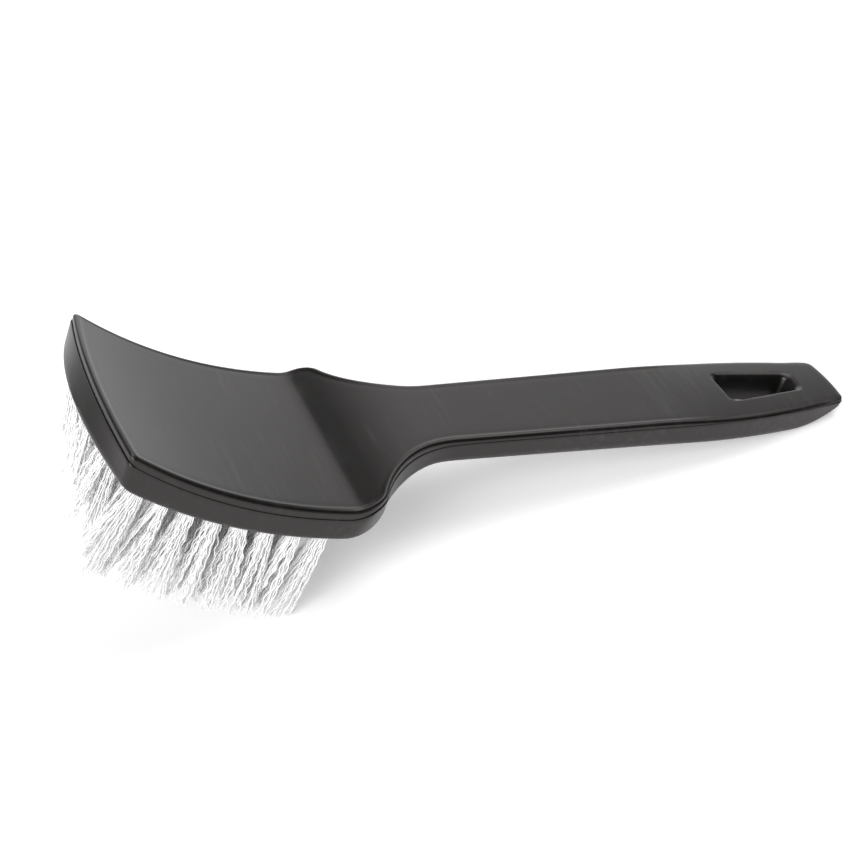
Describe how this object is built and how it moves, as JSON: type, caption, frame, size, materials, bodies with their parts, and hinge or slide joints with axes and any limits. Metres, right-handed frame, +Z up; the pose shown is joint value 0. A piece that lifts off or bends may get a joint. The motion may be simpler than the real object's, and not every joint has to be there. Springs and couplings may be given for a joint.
{
  "type": "wheel brush",
  "caption": "Hand brush with a curved, wide head of crimped white bristle tufts and a flat moulded handle with a hanging hole, for scrubbing wheels and tyres.",
  "frame": {"origin": "centre of the box round the whole brush, on the floor it rests on", "axes": "+X along the handle towards its end, +Y across the brush, +Z up, with the brush lying on its bristle tips and on the heel of the handle"},
  "size_m": [0.2584, 0.074, 0.0707],
  "materials": {
    "moulded_plastic": "fine moulded texture, satin",
    "bristle": "translucent white crimped filament",
    "anchor_wire": "bright drawn flat wire"
  },
  "bodies": {
    "root": {"brush_block": "moulded_plastic", "bristle_tuft_a1": "bristle", "bristle_tuft_a2": "bristle", "bristle_tuft_a3": "bristle", "bristle_tuft_a4": "bristle", "bristle_tuft_a5": "bristle", "bristle_tuft_a6": "bristle", "bristle_tuft_a7": "bristle", "bristle_tuft_a8": "bristle", "bristle_tuft_b1": "bristle", "bristle_tuft_b2": "bristle", "bristle_tuft_b3": "bristle", "bristle_tuft_b4": "bristle", "bristle_tuft_b5": "bristle", "bristle_tuft_b6": "bristle", "bristle_tuft_b7": "bristle", "bristle_tuft_c1": "bristle", "bristle_tuft_c2": "bristle", "bristle_tuft_c3": "bristle", "bristle_tuft_c4": "bristle", "bristle_tuft_c5": "bristle", "bristle_tuft_c6": "bristle", "bristle_tuft_c7": "bristle", "bristle_tuft_c8": "bristle", "bristle_tuft_d1": "bristle", "bristle_tuft_d2": "bristle", "bristle_tuft_d3": "bristle", "bristle_tuft_d4": "bristle", "bristle_tuft_d5": "bristle", "bristle_tuft_d6": "bristle", "bristle_tuft_d7": "bristle", "bristle_tuft_e1": "bristle", "bristle_tuft_e2": "bristle", "bristle_tuft_e3": "bristle", "bristle_tuft_e4": "bristle", "bristle_tuft_e5": "bristle", "bristle_tuft_e6": "bristle", "bristle_tuft_e7": "bristle", "bristle_tuft_e8": "bristle", "bristle_tuft_f1": "bristle", "bristle_tuft_f2": "bristle", "bristle_tuft_f3": "bristle", "bristle_tuft_f4": "bristle", "bristle_tuft_f5": "bristle", "bristle_tuft_f6": "bristle", "bristle_tuft_f7": "bristle", "bristle_tuft_g1": "bristle", "bristle_tuft_g2": "bristle", "bristle_tuft_g3": "bristle", "bristle_tuft_g4": "bristle", "bristle_tuft_g5": "bristle", "bristle_tuft_g6": "bristle", "bristle_tuft_g7": "bristle", "bristle_tuft_g8": "bristle", "anchor_plates_outer_rows": "anchor_wire", "anchor_plates_second_rows": "anchor_wire", "anchor_plates_third_rows": "anchor_wire", "anchor_plates_middle_row": "anchor_wire"}
  },
  "joints": []
}
